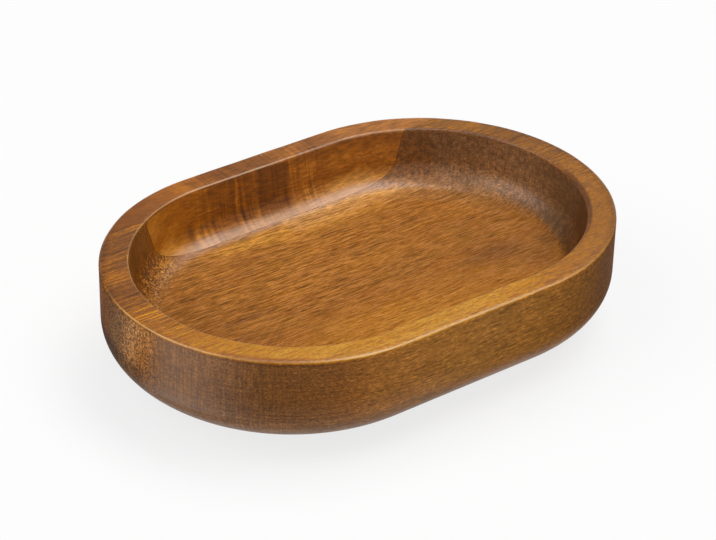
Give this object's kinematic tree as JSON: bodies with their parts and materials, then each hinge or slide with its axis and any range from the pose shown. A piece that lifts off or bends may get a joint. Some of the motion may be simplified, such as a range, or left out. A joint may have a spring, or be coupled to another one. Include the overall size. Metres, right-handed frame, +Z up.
{
  "type": "soap dish",
  "caption": "Oval wooden soap dish: a shallow hollow with a coved flat floor, an even rim and a rounded underside, glued up from edge-joined staves.",
  "frame": {"origin": "centre of the flat base, on the surface that the dish stands on", "axes": "+X along the length and the grain, +Y towards the narrow rear stave, +Z up out of the hollow"},
  "size_m": [0.14, 0.096, 0.03],
  "materials": {
    "board_wood": "sanded and oiled golden-brown hardwood, satin",
    "stave_wood": "sanded and oiled red-brown hardwood with dark bands, satin",
    "wood_glue": "cured wood glue, amber brown, flush with the wood"
  },
  "bodies": {
    "root": {"main_board": "board_wood", "rear_stave": "stave_wood", "glue_line": "wood_glue"}
  },
  "joints": []
}
